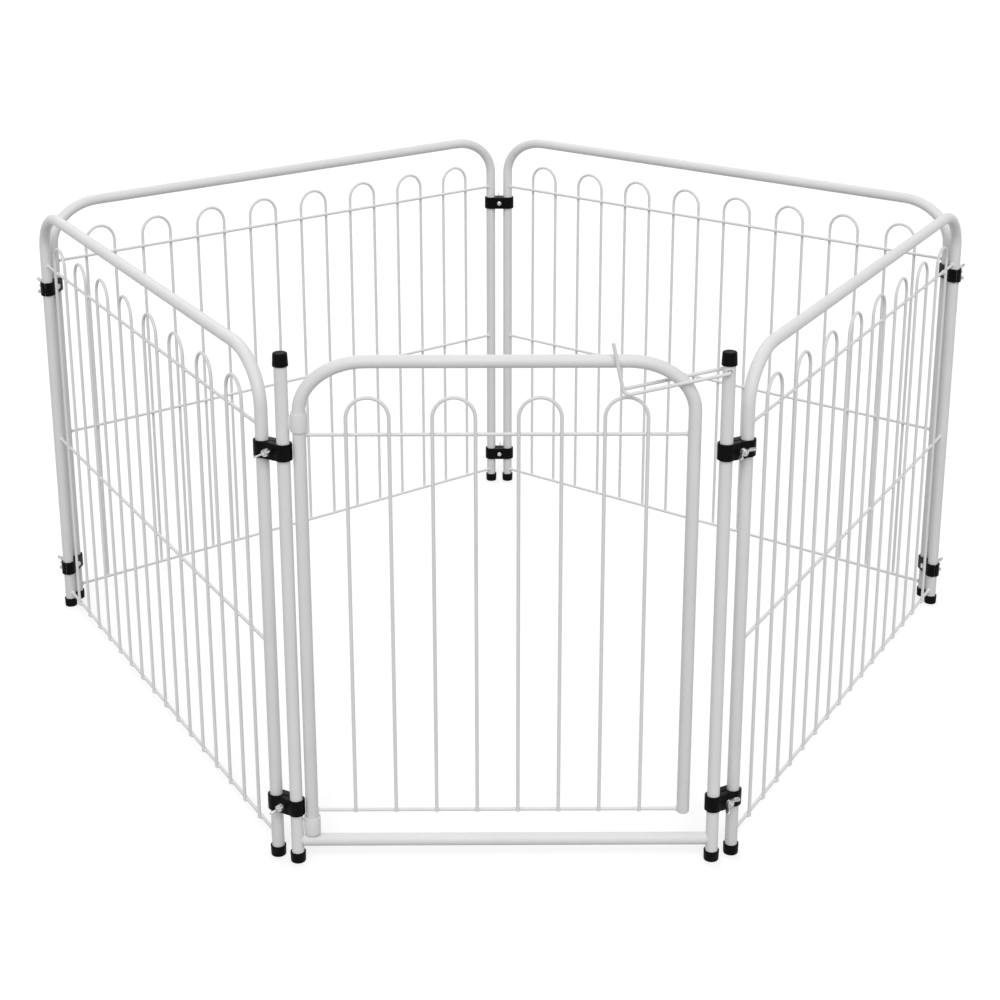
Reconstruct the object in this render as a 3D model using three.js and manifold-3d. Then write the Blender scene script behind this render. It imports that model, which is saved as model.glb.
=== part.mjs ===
import * as THREE from 'three';
import { mergeVertices, toCreasedNormals } from 'three/addons/utils/BufferGeometryUtils.js';
import Module from 'manifold-3d';

const { Manifold, Mesh: SolidMesh } = await (async () => {
  const api = await Module();
  api.setup();
  return api;
})();

// driving sizes, mm
const tubeOuter = 16;
const tubeWall = 1.2;
const wire = 4.5;
const frameHeight = 672;
const postRise = 3.5;
const sideWidth = 880;
const gateWidth = 525;
const clampPitch = 31;
const frontTurn = 61.5;
const gap = 0.3;

const rail = { bendAcross: 80, bendDown: 62, steps: 6, sides: 10 };
const wires = {
  spacing: 51, margin: 50, archTop: 52, top: 95.5, middle: 380, bottom: 24, tail: 0.5, offset: 2,
};
const foot = { outer: tubeOuter + 4, bottom: tubeOuter + 3, height: 14, floor: 3 };
const postCap = { outer: tubeOuter + 3.2, top: tubeOuter + 1.6, height: 16.4, roof: 3 };
const threshold = { height: tubeOuter / 2 + 22 };
const sleeve = { outer: tubeOuter + 4.6, bore: tubeOuter + 1, length: 25.5, tab: 15, drop: 95.8 };
const door = { axis: tubeOuter + 3.5, shut: 38, lift: 0.6, freeLow: 68, top: 99, bottom: 71.5 };
const latch = {
  wire: 4.5, pivotDrop: 20, reach: 118, tip: 6, bend: 3.2, knee: 8, handle: 66, droop: 12.2, hole: 5.4,
};
latch.side = postCap.outer / 2 + latch.wire / 2 + 0.35;
const clamp = { radius: tubeOuter / 2 + 3, tall: 21, split: 0.5, hole: 6.6 };
const bolt = { shank: 5.6, head: 10.5, dome: 2.8, past: 9 };
const wing = { hub: 10.5, hubTop: 8.6, hubTall: 7, span: 27, tall: 13, thick: 2.4, bore: 6.4 };
const upperDrop = { front_left: 119, left: 132, rear: 126, right: 113, front_right: 120 };
const lowerRise = { front_left: 78, left: 68, rear: 56, right: 60, front_right: 82 };
const wingLean = {
  upper: { front_left: 27, left: 90, rear: 84, right: 90, front_right: 24 },
  lower: { front_left: 38, left: 78, rear: 96, right: 100, front_right: 42 },
};

const rad = (deg) => (deg * Math.PI) / 180;
const tubeRadius = tubeOuter / 2;
const doorWidth = gateWidth - door.axis - door.shut;
const lowSleeve = threshold.height + tubeRadius + door.lift;
const highSleeve = frameHeight - sleeve.drop;
const railHeight = frameHeight - tubeRadius;
const powder = { color: 0xf2f2f0, roughness: 0.42, metalness: 0.05 };
const rubber = { color: 0x1b1b1c, roughness: 0.82, metalness: 0 };
const nylon = { color: 0x141415, roughness: 0.5, metalness: 0 };
const zinc = { color: 0xb9bcc0, roughness: 0.34, metalness: 0.9 };

function tidy(source) {
  const bare = source.index ? source.toNonIndexed() : source.clone();
  bare.deleteAttribute('uv');
  bare.deleteAttribute('normal');
  const merged = mergeVertices(bare, 1e-4);
  const p = merged.attributes.position;
  const faces = [];
  let volume = 0;
  for (let i = 0; i < merged.index.count; i += 3) {
    const [a, b, c] = [0, 1, 2].map((k) => merged.index.getX(i + k));
    if (a === b || b === c || a === c) continue;
    faces.push(a, b, c);
    const va = new THREE.Vector3().fromBufferAttribute(p, a);
    const vb = new THREE.Vector3().fromBufferAttribute(p, b);
    const vc = new THREE.Vector3().fromBufferAttribute(p, c);
    volume += va.dot(vb.cross(vc)) / 6;
  }
  if (volume < 0) faces.reverse();
  const out = new THREE.BufferGeometry();
  out.setAttribute('position', p);
  out.setIndex(faces);
  return out;
}

function toSolid(geometry) {
  const g = tidy(geometry);
  const mesh = new SolidMesh({
    numProp: 3,
    vertProperties: new Float32Array(g.attributes.position.array),
    triVerts: new Uint32Array(g.index.array),
  });
  mesh.merge();
  return new Manifold(mesh);
}

function fromSolid(solid) {
  const mesh = solid.getMesh();
  const g = new THREE.BufferGeometry();
  g.setAttribute('position', new THREE.BufferAttribute(new Float32Array(mesh.vertProperties), 3));
  g.setIndex(new THREE.BufferAttribute(new Uint32Array(mesh.triVerts), 1));
  return g;
}

const join = (list) => list.map(toSolid).reduce((a, b) => a.add(b));
const cut = (solid, tools) => tools.map(toSolid).reduce((a, b) => a.subtract(b), solid);

class Stations extends THREE.Curve {
  constructor(points) {
    super();
    this.points = points;
  }

  getPoint(t, target = new THREE.Vector3()) {
    const last = this.points.length - 1;
    const at = Math.min(Math.max(t * last, 0), last);
    const i = Math.min(Math.floor(at), last - 1);
    return target.lerpVectors(this.points[i], this.points[i + 1], at - i);
  }

  getTangent(t, target = new THREE.Vector3()) {
    const last = this.points.length - 1;
    const i = Math.round(Math.min(Math.max(t * last, 0), last));
    const before = this.points[Math.max(i - 1, 0)];
    const here = this.points[i];
    const after = this.points[Math.min(i + 1, last)];
    const a = here.clone().sub(before).normalize();
    const b = after.clone().sub(here).normalize();
    return target.copy(a).add(b).normalize();
  }

  getUtoTmapping(u) {
    return u;
  }
}

const v3 = (x, y, z) => new THREE.Vector3(x, y, z);

function sweep(points, radius, sides, boreRadius = 0) {
  const shape = new THREE.Shape();
  shape.absarc(0, 0, radius, 0, Math.PI * 2, false);
  if (boreRadius) {
    const hole = new THREE.Path();
    hole.absarc(0, 0, boreRadius, 0, Math.PI * 2, true);
    shape.holes.push(hole);
  }
  return new THREE.ExtrudeGeometry(shape, {
    steps: points.length - 1,
    curveSegments: sides / 2,
    bevelEnabled: false,
    extrudePath: new Stations(points),
  });
}

function corner(centre, from, to, across, down, steps) {
  const out = [];
  for (let i = 0; i <= steps; i += 1) {
    const a = rad(from + ((to - from) * i) / steps);
    out.push(v3(centre.x + across * Math.cos(a), centre.y, centre.z + down * Math.sin(a)));
  }
  return out;
}

// inverted U in the XZ plane: up one leg, over, down the other
function hoop(left, right, top, across, down, lowLeft, lowRight, y, steps) {
  return [
    v3(left, y, lowLeft),
    ...corner(v3(left + across, y, top - down), 180, 90, across, down, steps),
    ...corner(v3(right - across, y, top - down), 90, 0, across, down, steps),
    v3(right, y, lowRight),
  ];
}

function lathe(profile, sides) {
  const points = profile.map(([r, z]) => new THREE.Vector2(r, z));
  return new THREE.LatheGeometry(points, sides).rotateX(Math.PI / 2);
}

function rod(radius, length, sides) {
  return new THREE.CylinderGeometry(radius, radius, length, sides).rotateX(Math.PI / 2);
}

function piece(name, geometry, finish) {
  const flat = toCreasedNormals(tidy(geometry), 0.6);
  const mesh = new THREE.Mesh(flat, new THREE.MeshStandardMaterial({ ...finish, name: `${name}_mat` }));
  mesh.name = name;
  return mesh;
}

function grille(left, width, heights) {
  const pairs = Math.floor((width + wires.spacing - 2 * wires.margin) / (2 * wires.spacing));
  const count = pairs * 2;
  const first = left + (width - (count - 1) * wires.spacing) / 2;
  const half = wires.spacing / 2;
  const low = heights[heights.length - 1] - wires.tail;
  const crown = frameHeight - wires.archTop;
  const list = [];
  for (let i = 0; i < pairs; i += 1) {
    const x = first + i * 2 * wires.spacing;
    const path = [
      v3(x, -wires.offset, low),
      ...corner(v3(x + half, -wires.offset, crown - half), 180, 0, half, half, 5),
      v3(x + wires.spacing, -wires.offset, low),
    ];
    list.push(sweep(path, wire / 2, 6));
  }
  for (const z of heights) {
    list.push(sweep([v3(left, wires.offset, z), v3(left + width, wires.offset, z)], wire / 2, 6));
  }
  return join(list);
}

const rings = (xs, radius, low, high) => xs.map((x) => rod(radius, high - low, 14)
  .translate(x, 0, (high + low) / 2));

function sidePanel(name) {
  const group = new THREE.Group();
  const low = foot.floor + gap;
  const path = hoop(0, sideWidth, railHeight, rail.bendAcross, rail.bendDown, low, low, 0, rail.steps);
  const frame = toSolid(sweep(path, tubeRadius, rail.sides, tubeRadius - tubeWall));
  const heights = [frameHeight - wires.top, frameHeight - wires.middle, wires.bottom];
  const bores = rings([0, sideWidth], tubeRadius - tubeWall / 2, low, frameHeight);
  const infill = cut(grille(0, sideWidth, heights), bores);
  group.add(piece(name, fromSolid(frame.add(infill)), powder));
  [0, sideWidth].forEach((x, i) => group.add(footAt(`${name}_foot_${i + 1}`, x)));
  return group;
}

function footAt(name, x) {
  const bore = tubeRadius + gap;
  const profile = [
    [0, 0], [foot.bottom / 2 - 1, 0], [foot.bottom / 2, 1], [foot.outer / 2, foot.height],
    [bore, foot.height], [bore, foot.floor], [0, foot.floor],
  ];
  const mesh = piece(name, lathe(profile, 14), rubber);
  mesh.position.x = x;
  return mesh;
}

function capAt(name, x) {
  const bore = tubeRadius + gap;
  const profile = [
    [0, postCap.height - postCap.roof], [bore, postCap.height - postCap.roof],
    [bore, 0], [postCap.outer / 2, 0],
    [postCap.top / 2, postCap.height - 1.5], [postCap.top / 2 - 1.5, postCap.height], [0, postCap.height],
  ];
  const mesh = piece(name, lathe(profile, 14), rubber);
  mesh.position.set(x, 0, frameHeight + postRise - postCap.height);
  return mesh;
}

function gateFrame() {
  const low = foot.floor + gap;
  const high = frameHeight + postRise - postCap.roof - gap;
  const outer = [0, gateWidth].map((x) => rod(tubeRadius, high - low, rail.sides)
    .translate(x, 0, (high + low) / 2));
  const sillLine = [v3(0, 0, threshold.height), v3(gateWidth, 0, threshold.height)];
  const sill = sweep(sillLine, tubeRadius, rail.sides);
  const sleeves = [lowSleeve, highSleeve].flatMap((z) => [
    rod(sleeve.outer / 2, sleeve.length, 16).translate(door.axis, 0, z + sleeve.length / 2),
    new THREE.BoxGeometry(door.axis, 5, sleeve.tab).translate(door.axis / 2, 0, z + sleeve.length / 2),
  ]);
  const bores = [0, gateWidth].map((x) => rod(tubeRadius - tubeWall, high - low + 2, rail.sides)
    .translate(x, 0, (high + low) / 2));
  const pins = [lowSleeve, highSleeve].map((z) => rod(sleeve.bore / 2, sleeve.length + 0.02, 16)
    .translate(door.axis, 0, z + sleeve.length / 2));
  const hole = new THREE.CylinderGeometry(latch.hole / 2, latch.hole / 2, tubeOuter + 4, 12)
    .translate(gateWidth, 0, frameHeight - latch.pivotDrop);
  const welded = join([...outer, sill, ...sleeves]);
  return piece('gate_frame', fromSolid(cut(welded, [...bores, ...pins, hole])), powder);
}

function gateDoor() {
  const left = door.axis;
  const right = left + doorWidth;
  const low = lowSleeve + door.lift;
  const { bendAcross, bendDown, steps } = rail;
  const path = hoop(left, right, railHeight, bendAcross, bendDown, low, door.freeLow, 0, steps);
  const frame = toSolid(sweep(path, tubeRadius, rail.sides, tubeRadius - tubeWall));
  const bores = rings([left, right], tubeRadius - tubeWall / 2, low, frameHeight);
  const infill = cut(grille(left, doorWidth, [frameHeight - door.top, door.bottom]), bores);
  return piece('gate_door', fromSolid(frame.add(infill)), powder);
}

function latchWire() {
  const { side, bend, reach, tip, knee, handle } = latch;
  const turn = (x, y, from, to, steps) => Array.from({ length: steps + 1 }, (_, i) => {
    const a = rad(from + ((to - from) * i) / steps);
    return v3(x + bend * Math.cos(a), y + bend * Math.sin(a), 0);
  });
  const rise = Array.from({ length: 6 }, (_, i) => {
    const a = rad(-90 - 18 * i);
    return v3(-reach + knee * Math.cos(a), -side, knee + knee * Math.sin(a));
  });
  const path = [
    v3(-reach - tip, side, 0),
    ...turn(-bend, side - bend, 90, 0, 4),
    ...turn(-bend, -side + bend, 0, -90, 4),
    ...rise,
    v3(-reach - knee, -side, handle),
  ];
  const mesh = piece('latch_wire', sweep(path, latch.wire / 2, 8), powder);
  mesh.position.set(gateWidth, 0, frameHeight - latch.pivotDrop);
  mesh.rotation.y = -rad(latch.droop);
  return mesh;
}

// half of a clamp: a flat-backed saddle over both tubes, on the +Y side
function clampHalf(name, side) {
  const half = clampPitch / 2;
  const r = clamp.radius;
  const bore = tubeRadius + gap;
  const lift = Math.asin(clamp.split / r);
  const rest = Math.asin(clamp.split / bore);
  const shape = new THREE.Shape();
  shape.moveTo(half + r * Math.cos(lift), clamp.split);
  shape.absarc(half, 0, r, lift, Math.PI / 2, false);
  shape.absarc(-half, 0, r, Math.PI / 2, Math.PI - lift, false);
  shape.absarc(-half, 0, bore, Math.PI - rest, rest, true);
  shape.absarc(half, 0, bore, Math.PI - rest, rest, true);
  const body = new THREE.ExtrudeGeometry(shape, { depth: clamp.tall, curveSegments: 4, bevelEnabled: false })
    .translate(0, 0, -clamp.tall / 2);
  const hole = new THREE.CylinderGeometry(clamp.hole / 2, clamp.hole / 2, r * 3, 12);
  const mesh = piece(name, fromSolid(cut(toSolid(body), [hole])), nylon);
  if (side < 0) mesh.rotation.z = Math.PI;
  return mesh;
}

function boltPiece(name) {
  const seat = clamp.radius + gap;
  const end = seat + bolt.past;
  const r = bolt.shank / 2;
  const profile = [
    [0, -seat - bolt.dome], [bolt.head * 0.28, -seat - bolt.dome * 0.86],
    [bolt.head * 0.43, -seat - bolt.dome * 0.45],
    [bolt.head / 2, -seat], [r, -seat], [r, end - 0.8], [r - 0.8, end], [0, end],
  ];
  const mesh = piece(name, lathe(profile, 10), zinc);
  mesh.rotation.x = Math.PI / 2;
  return mesh;
}

function wingNut(name) {
  const hub = lathe([
    [0, 0], [wing.hub / 2, 0], [wing.hubTop / 2, wing.hubTall], [0, wing.hubTall],
  ], 10);
  const lobe = new THREE.Shape();
  lobe.moveTo(0, 1.2);
  lobe.lineTo(wing.span * 0.3, 1.6);
  lobe.quadraticCurveTo(wing.span * 0.52, wing.tall * 0.5, wing.span / 2, wing.tall * 0.86);
  lobe.quadraticCurveTo(wing.span * 0.42, wing.tall * 1.08, wing.span * 0.34, wing.tall * 0.9);
  lobe.quadraticCurveTo(wing.span * 0.26, wing.tall * 0.55, 0, wing.hubTall - 0.4);
  const flat = { depth: wing.thick, curveSegments: 2, bevelEnabled: false };
  const one = new THREE.ExtrudeGeometry(lobe, flat).translate(0, 0, -wing.thick / 2).rotateX(Math.PI / 2);
  const two = one.clone().rotateZ(Math.PI);
  const bore = rod(wing.bore / 2, wing.tall * 3, 10);
  const mesh = piece(name, fromSolid(cut(join([hub, one, two]), [bore])), zinc);
  mesh.rotation.set(Math.PI / 2, 0, 0);
  return mesh;
}

function clampSet(label, lean) {
  const group = new THREE.Group();
  const nut = new THREE.Group();
  nut.position.y = -clamp.radius - gap;
  nut.rotation.y = -rad(lean);
  nut.add(wingNut(`${label}_wing_nut`));
  group.add(clampHalf(`${label}_inner_half`, 1), clampHalf(`${label}_outer_half`, -1));
  group.add(boltPiece(`${label}_bolt`), nut);
  return group;
}

// the second turn that closes the ring of five panels
function closingTurn() {
  const ahead = (second) => gateWidth / 2 + clampPitch * Math.cos(rad(frontTurn / 2))
    + sideWidth * Math.cos(rad(frontTurn)) + clampPitch * Math.cos(rad(frontTurn + second / 2))
    + sideWidth * Math.cos(rad(frontTurn + second)) - clampPitch / 2;
  let low = 0;
  let high = 180 - frontTurn;
  for (let i = 0; i < 60; i += 1) {
    const mid = (low + high) / 2;
    if (ahead(mid) > 0) low = mid;
    else high = mid;
  }
  return (low + high) / 2;
}

const sideTurn = closingTurn();
const rearTurn = 360 - 2 * (frontTurn + sideTurn);
const pen = new THREE.Group();
let spot = v3(-gateWidth / 2, 0, 0);
let heading = 0;

function place(group, length) {
  group.position.copy(spot);
  group.rotation.z = rad(heading);
  pen.add(group);
  spot = spot.clone().add(v3(length * Math.cos(rad(heading)), length * Math.sin(rad(heading)), 0));
}

function placeCorner(label, turn) {
  heading += turn / 2;
  const along = v3(Math.cos(rad(heading)), Math.sin(rad(heading)), 0);
  const middle = spot.clone().addScaledVector(along, clampPitch / 2);
  const levels = { upper: frameHeight - upperDrop[label], lower: lowerRise[label] };
  for (const [level, height] of Object.entries(levels)) {
    const set = clampSet(`clamp_${label}_${level}`, wingLean[level][label]);
    set.position.set(middle.x, middle.y, height);
    set.rotation.z = rad(heading);
    pen.add(set);
  }
  spot = spot.clone().addScaledVector(along, clampPitch);
  heading += turn / 2;
}

const gate = new THREE.Group();
gate.add(gateFrame(), gateDoor(), latchWire());
gate.add(footAt('gate_foot_left', 0), footAt('gate_foot_right', gateWidth));
gate.add(capAt('post_cap_left', 0), capAt('post_cap_right', gateWidth));

place(gate, gateWidth);
placeCorner('front_right', frontTurn);
place(sidePanel('panel_right_front'), sideWidth);
placeCorner('right', sideTurn);
place(sidePanel('panel_right_rear'), sideWidth);
placeCorner('rear', rearTurn);
place(sidePanel('panel_left_rear'), sideWidth);
placeCorner('left', sideTurn);
place(sidePanel('panel_left_front'), sideWidth);
placeCorner('front_left', frontTurn);

const root = new THREE.Group();
root.name = 'pet_playpen';
root.add(pen);
root.updateMatrixWorld(true);
const box = new THREE.Box3().setFromObject(pen, true);
pen.position.set(-(box.min.x + box.max.x) / 2, -(box.min.y + box.max.y) / 2, -box.min.z);

export default root;
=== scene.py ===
import math
import bmesh
import bpy
from mathutils import Matrix, Vector


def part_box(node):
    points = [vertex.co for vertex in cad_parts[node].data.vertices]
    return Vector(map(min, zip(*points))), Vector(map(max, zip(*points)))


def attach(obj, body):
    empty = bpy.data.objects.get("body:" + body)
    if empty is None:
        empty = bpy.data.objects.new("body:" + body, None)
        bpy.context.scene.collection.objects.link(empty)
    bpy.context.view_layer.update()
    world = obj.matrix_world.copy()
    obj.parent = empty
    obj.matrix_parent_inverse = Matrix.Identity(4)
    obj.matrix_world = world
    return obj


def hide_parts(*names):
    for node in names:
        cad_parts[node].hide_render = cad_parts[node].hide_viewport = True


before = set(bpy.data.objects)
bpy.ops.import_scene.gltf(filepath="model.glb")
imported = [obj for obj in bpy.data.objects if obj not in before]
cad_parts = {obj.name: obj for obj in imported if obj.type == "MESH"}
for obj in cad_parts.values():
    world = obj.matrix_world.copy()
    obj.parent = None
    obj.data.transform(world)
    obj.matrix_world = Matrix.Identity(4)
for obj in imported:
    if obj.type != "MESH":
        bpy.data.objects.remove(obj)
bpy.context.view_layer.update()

mm = 0.001
scene = bpy.context.scene
scene.view_settings.view_transform = "Standard"


# the camera comes first: it stands in front of the gate, with its lens slid down a little
camera = {
    "place": (-0.01706, -2.20391, 1.34841),  # metres, with y counted from the gate's own line
    "yaw": 0.00514,  # radians to the right
    "down": 0.3207,
    "roll": -0.00074,
    "lens": 71.16,
    "sensor": 36,
    "slideY": -0.1,
    "near": 0.05,
    "far": 200,
}


def setCamera():
    yaw, down, roll = camera["yaw"], camera["down"], camera["roll"]
    right = Vector((math.cos(yaw), -math.sin(yaw), 0))
    ahead = Vector((math.sin(yaw) * math.cos(down), math.cos(yaw) * math.cos(down), -math.sin(down)))
    up = right.cross(ahead)
    rolledRight = right * math.cos(roll) + up * math.sin(roll)
    rolledUp = up * math.cos(roll) - right * math.sin(roll)
    lens = bpy.data.cameras.new("penCamera")
    lens.lens = camera["lens"]
    lens.sensor_width = camera["sensor"]
    lens.shift_y = camera["slideY"]
    lens.clip_start = camera["near"]
    lens.clip_end = camera["far"]
    eye = bpy.data.objects.new("penCamera", lens)
    scene.collection.objects.link(eye)
    turn = Matrix((rolledRight, rolledUp, -ahead)).transposed().to_4x4()
    gateFoot = (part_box("gate_foot_left")[0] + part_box("gate_foot_left")[1]) / 2
    eye.matrix_world = Matrix.Translation(Vector(camera["place"]) + Vector((0, gateFoot.y, 0))) @ turn
    scene.camera = eye


setCamera()
print("camera stands")


# node helpers, shared by the geometry trees and the finishes
def addNode(tree, kind, feeds=None, **settings):
    step = tree.nodes.new(kind)
    for key, value in settings.items():
        setattr(step, key, value)
    for key, value in (feeds or {}).items():
        if isinstance(value, bpy.types.NodeSocket):
            tree.links.new(value, step.inputs[key])
        else:
            step.inputs[key].default_value = value
    return step


def newTree(treeName, sizes):
    tree = bpy.data.node_groups.new(treeName, "GeometryNodeTree")
    tree.interface.new_socket("Path", in_out="INPUT", socket_type="NodeSocketGeometry")
    for label, kind in sizes:
        tree.interface.new_socket(label, in_out="INPUT", socket_type="NodeSocket" + kind)
    tree.interface.new_socket("Piece", in_out="OUTPUT", socket_type="NodeSocketGeometry")
    return tree, tree.nodes.new("NodeGroupInput"), tree.nodes.new("NodeGroupOutput")


def joined(tree, *shapes):
    join = addNode(tree, "GeometryNodeJoinGeometry")
    for shape in shapes:
        tree.links.new(shape, join.inputs[0])
    return join.outputs[0]


def dressed(tree, shape, finish, exitNode):
    # every tree ends here: instances made real, then the finish
    solid = addNode(tree, "GeometryNodeRealizeInstances", {"Geometry": shape})
    last = addNode(tree, "GeometryNodeSetMaterial", {"Geometry": solid.outputs[0], "Material": finish})
    tree.links.new(last.outputs[0], exitNode.inputs[0])
    return tree


def smoothDressed(tree, shape, finish, exitNode):
    smooth = addNode(tree, "GeometryNodeSetShadeSmooth", {"Geometry": shape})
    return dressed(tree, smooth.outputs[0], finish, exitNode)


def takeMesh(holder, *others):
    # the finished mesh, once the holder and whatever helped to shape it are gone
    bpy.context.view_layer.update()
    depsgraph = bpy.context.evaluated_depsgraph_get()
    mesh = bpy.data.meshes.new_from_object(holder.evaluated_get(depsgraph), depsgraph=depsgraph)
    holder.modifiers.clear()
    for done in (holder, *others):
        bpy.data.objects.remove(done)
    return mesh


def growMesh(tree, seedMesh, sizes):
    # the sizes go in by socket identifier, before the holder is first evaluated
    holder = bpy.data.objects.new("holder", seedMesh)
    modifier = holder.modifiers.new("grow", "NODES")
    modifier.node_group = tree
    for socket in tree.interface.items_tree:
        if socket.in_out == "INPUT" and socket.name in sizes:
            modifier[socket.identifier] = sizes[socket.name]
    scene.collection.objects.link(holder)
    return takeMesh(holder)


def seedLine(points, swell=None):
    # a line to grow a tube along; swell is the tube's width at each point, as a share
    mesh = bpy.data.meshes.new("seed")
    mesh.from_pydata([tuple(p) for p in points], [(i, i + 1) for i in range(len(points) - 1)], [])
    layer = mesh.attributes.new("swell", "FLOAT", "POINT")
    layer.data.foreach_set("value", swell or [1.0] * len(points))
    return mesh


def seedSpots(spots, headings=None, tilts=None):
    # loose points to set shapes on, each with its turn about z and its lean
    mesh = bpy.data.meshes.new("seed")
    mesh.from_pydata([tuple(p) for p in spots], [], [])
    for label, values in (("heading", headings), ("tilt", tilts)):
        layer = mesh.attributes.new(label, "FLOAT", "POINT")
        layer.data.foreach_set("value", values or [0.0] * len(spots))
    return mesh


# geometry trees: a bent tube, the arched wires, and hardware set at its stations
def makeTubeTree():
    sizes = [("Tube Radius", "Float"), ("Facets", "Int"), ("Finish", "Material")]
    tree, given, out = newTree("bentTube", sizes)
    line = addNode(tree, "GeometryNodeMeshToCurve", {"Mesh": given.outputs["Path"]})
    ring = addNode(tree, "GeometryNodeCurvePrimitiveCircle", {
        "Resolution": given.outputs["Facets"], "Radius": given.outputs["Tube Radius"]})
    swell = addNode(tree, "GeometryNodeInputNamedAttribute", {"Name": "swell"}, data_type="FLOAT")
    skin = addNode(tree, "GeometryNodeCurveToMesh", {
        "Curve": line.outputs[0], "Profile Curve": ring.outputs[0],
        "Scale": swell.outputs["Attribute"], "Fill Caps": True})
    return smoothDressed(tree, skin.outputs[0], given.outputs["Finish"], out)


wireTreeSizes = [
    ("Wire Radius", "Float"), ("Facets", "Int"), ("Spacing", "Float"), ("Arches", "Int"),
    ("First Wire", "Float"), ("Arch Top", "Float"), ("Wire Foot", "Float"), ("Arch Side", "Float"),
    ("Row Side", "Float"), ("Row Start", "Float"), ("Row End", "Float"), ("Weld Size", "Float"),
    ("Finish", "Material"),
]
arch = {"steps": 9, "round": 0.499}  # just under half the spacing, so that the two fillets meet
bead = {"facing": 2, "squash": (1.0, 0.82, 1.0)}


def makeWireTree():
    tree, given, out = newTree("archedWires", wireTreeSizes)
    size = given.outputs

    def point(x, y, z):
        return addNode(tree, "ShaderNodeCombineXYZ", {"X": x, "Y": y, "Z": z}).outputs[0]

    def times(a, b):
        return addNode(tree, "ShaderNodeMath", {0: a, 1: b}, operation="MULTIPLY").outputs[0]

    def swept(line):
        return addNode(tree, "GeometryNodeCurveToMesh", {
            "Curve": line, "Profile Curve": ring.outputs[0], "Fill Caps": True}).outputs[0]

    def setOut(points, shape):
        return addNode(tree, "GeometryNodeInstanceOnPoints", {"Points": points, "Instance": shape}).outputs[0]

    def evenly(count, step):
        return addNode(tree, "GeometryNodeMeshLine", {
            "Count": count, "Start Location": point(size["First Wire"], 0.0, 0.0),
            "Offset": point(step, 0.0, 0.0)}, mode="OFFSET").outputs[0]

    ring = addNode(tree, "GeometryNodeCurvePrimitiveCircle", {
        "Resolution": size["Facets"], "Radius": size["Wire Radius"]})
    turns = addNode(tree, "GeometryNodeCurvePrimitiveQuadrilateral", {
        "Point 1": point(0.0, size["Arch Side"], size["Wire Foot"]),
        "Point 2": point(0.0, size["Arch Side"], size["Arch Top"]),
        "Point 3": point(size["Spacing"], size["Arch Side"], size["Arch Top"]),
        "Point 4": point(size["Spacing"], size["Arch Side"], size["Wire Foot"])}, mode="POINTS")
    opened = addNode(tree, "GeometryNodeSetSplineCyclic", {"Geometry": turns.outputs[0], "Cyclic": False})
    bent = addNode(tree, "GeometryNodeFilletCurve", {
        "Curve": opened.outputs[0], "Count": arch["steps"], "Limit Radius": True,
        "Radius": times(size["Spacing"], arch["round"])}, mode="POLY")
    arches = setOut(evenly(size["Arches"], times(size["Spacing"], 2.0)), swept(bent.outputs[0]))
    # one straight wire with a weld bead where it crosses each upright, set at every row height
    rowLine = addNode(tree, "GeometryNodeCurvePrimitiveLine", {
        "Start": point(size["Row Start"], size["Row Side"], 0.0),
        "End": point(size["Row End"], size["Row Side"], 0.0)})
    ball = addNode(tree, "GeometryNodeMeshIcoSphere", {
        "Radius": size["Weld Size"], "Subdivisions": bead["facing"]})
    squashed = addNode(tree, "GeometryNodeTransform", {
        "Geometry": ball.outputs[0], "Scale": bead["squash"]})
    beads = setOut(evenly(times(size["Arches"], 2.0), size["Spacing"]), squashed.outputs[0])
    row = joined(tree, swept(rowLine.outputs[0]), beads)
    both = joined(tree, arches, setOut(size["Path"], row))
    return smoothDressed(tree, both, size["Finish"], out)


def makeStationTree():
    tree, given, out = newTree("hardwareAtStations", [("Shape", "Object"), ("Finish", "Material")])
    shape = addNode(tree, "GeometryNodeObjectInfo", {"Object": given.outputs["Shape"]})
    heading = addNode(tree, "GeometryNodeInputNamedAttribute", {"Name": "heading"}, data_type="FLOAT")
    tilt = addNode(tree, "GeometryNodeInputNamedAttribute", {"Name": "tilt"}, data_type="FLOAT")
    angles = addNode(tree, "ShaderNodeCombineXYZ", {
        "Y": tilt.outputs["Attribute"], "Z": heading.outputs["Attribute"]})
    turn = addNode(tree, "FunctionNodeEulerToRotation", {"Euler": angles.outputs[0]})
    laid = addNode(tree, "GeometryNodeInstanceOnPoints", {
        "Points": given.outputs["Path"], "Instance": shape.outputs["Geometry"], "Rotation": turn.outputs[0]})
    return dressed(tree, laid.outputs[0], given.outputs["Finish"], out)


tubeTree = makeTubeTree()
wireTree = makeWireTree()
stationTree = makeStationTree()


# finishes; a noise is (scale, detail, roughness) and a bump is (strength, distance)
noiseSpan = (0.3, 0.7)  # where nearly all of a noise lies


def newFinish(finishName, **plain):
    finish = bpy.data.materials.new(finishName)
    finish.use_nodes = True
    tree = finish.node_tree
    shader = tree.nodes["Principled BSDF"]
    for label, value in plain.items():
        shader.inputs[label.replace("_", " ")].default_value = value
    coords = tree.nodes.new("ShaderNodeTexCoord").outputs["Object"]
    return finish, tree, shader, coords


def noiseAt(tree, coords, scale, detail, roughness):
    return addNode(tree, "ShaderNodeTexNoise", {
        "Vector": coords, "Scale": scale, "Detail": detail, "Roughness": roughness}).outputs["Fac"]


def spread(tree, value, low, high):
    return addNode(tree, "ShaderNodeMapRange", {
        "Value": value, "From Min": noiseSpan[0], "From Max": noiseSpan[1],
        "To Min": low, "To Max": high}).outputs[0]


def toneBetween(tree, value, dark, light):
    ramp = addNode(tree, "ShaderNodeValToRGB", {"Fac": value})
    for stop, place, tone in zip(ramp.color_ramp.elements, noiseSpan, (dark, light)):
        stop.position = place
        stop.color = (*tone, 1)
    return ramp.outputs[0]


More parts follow.
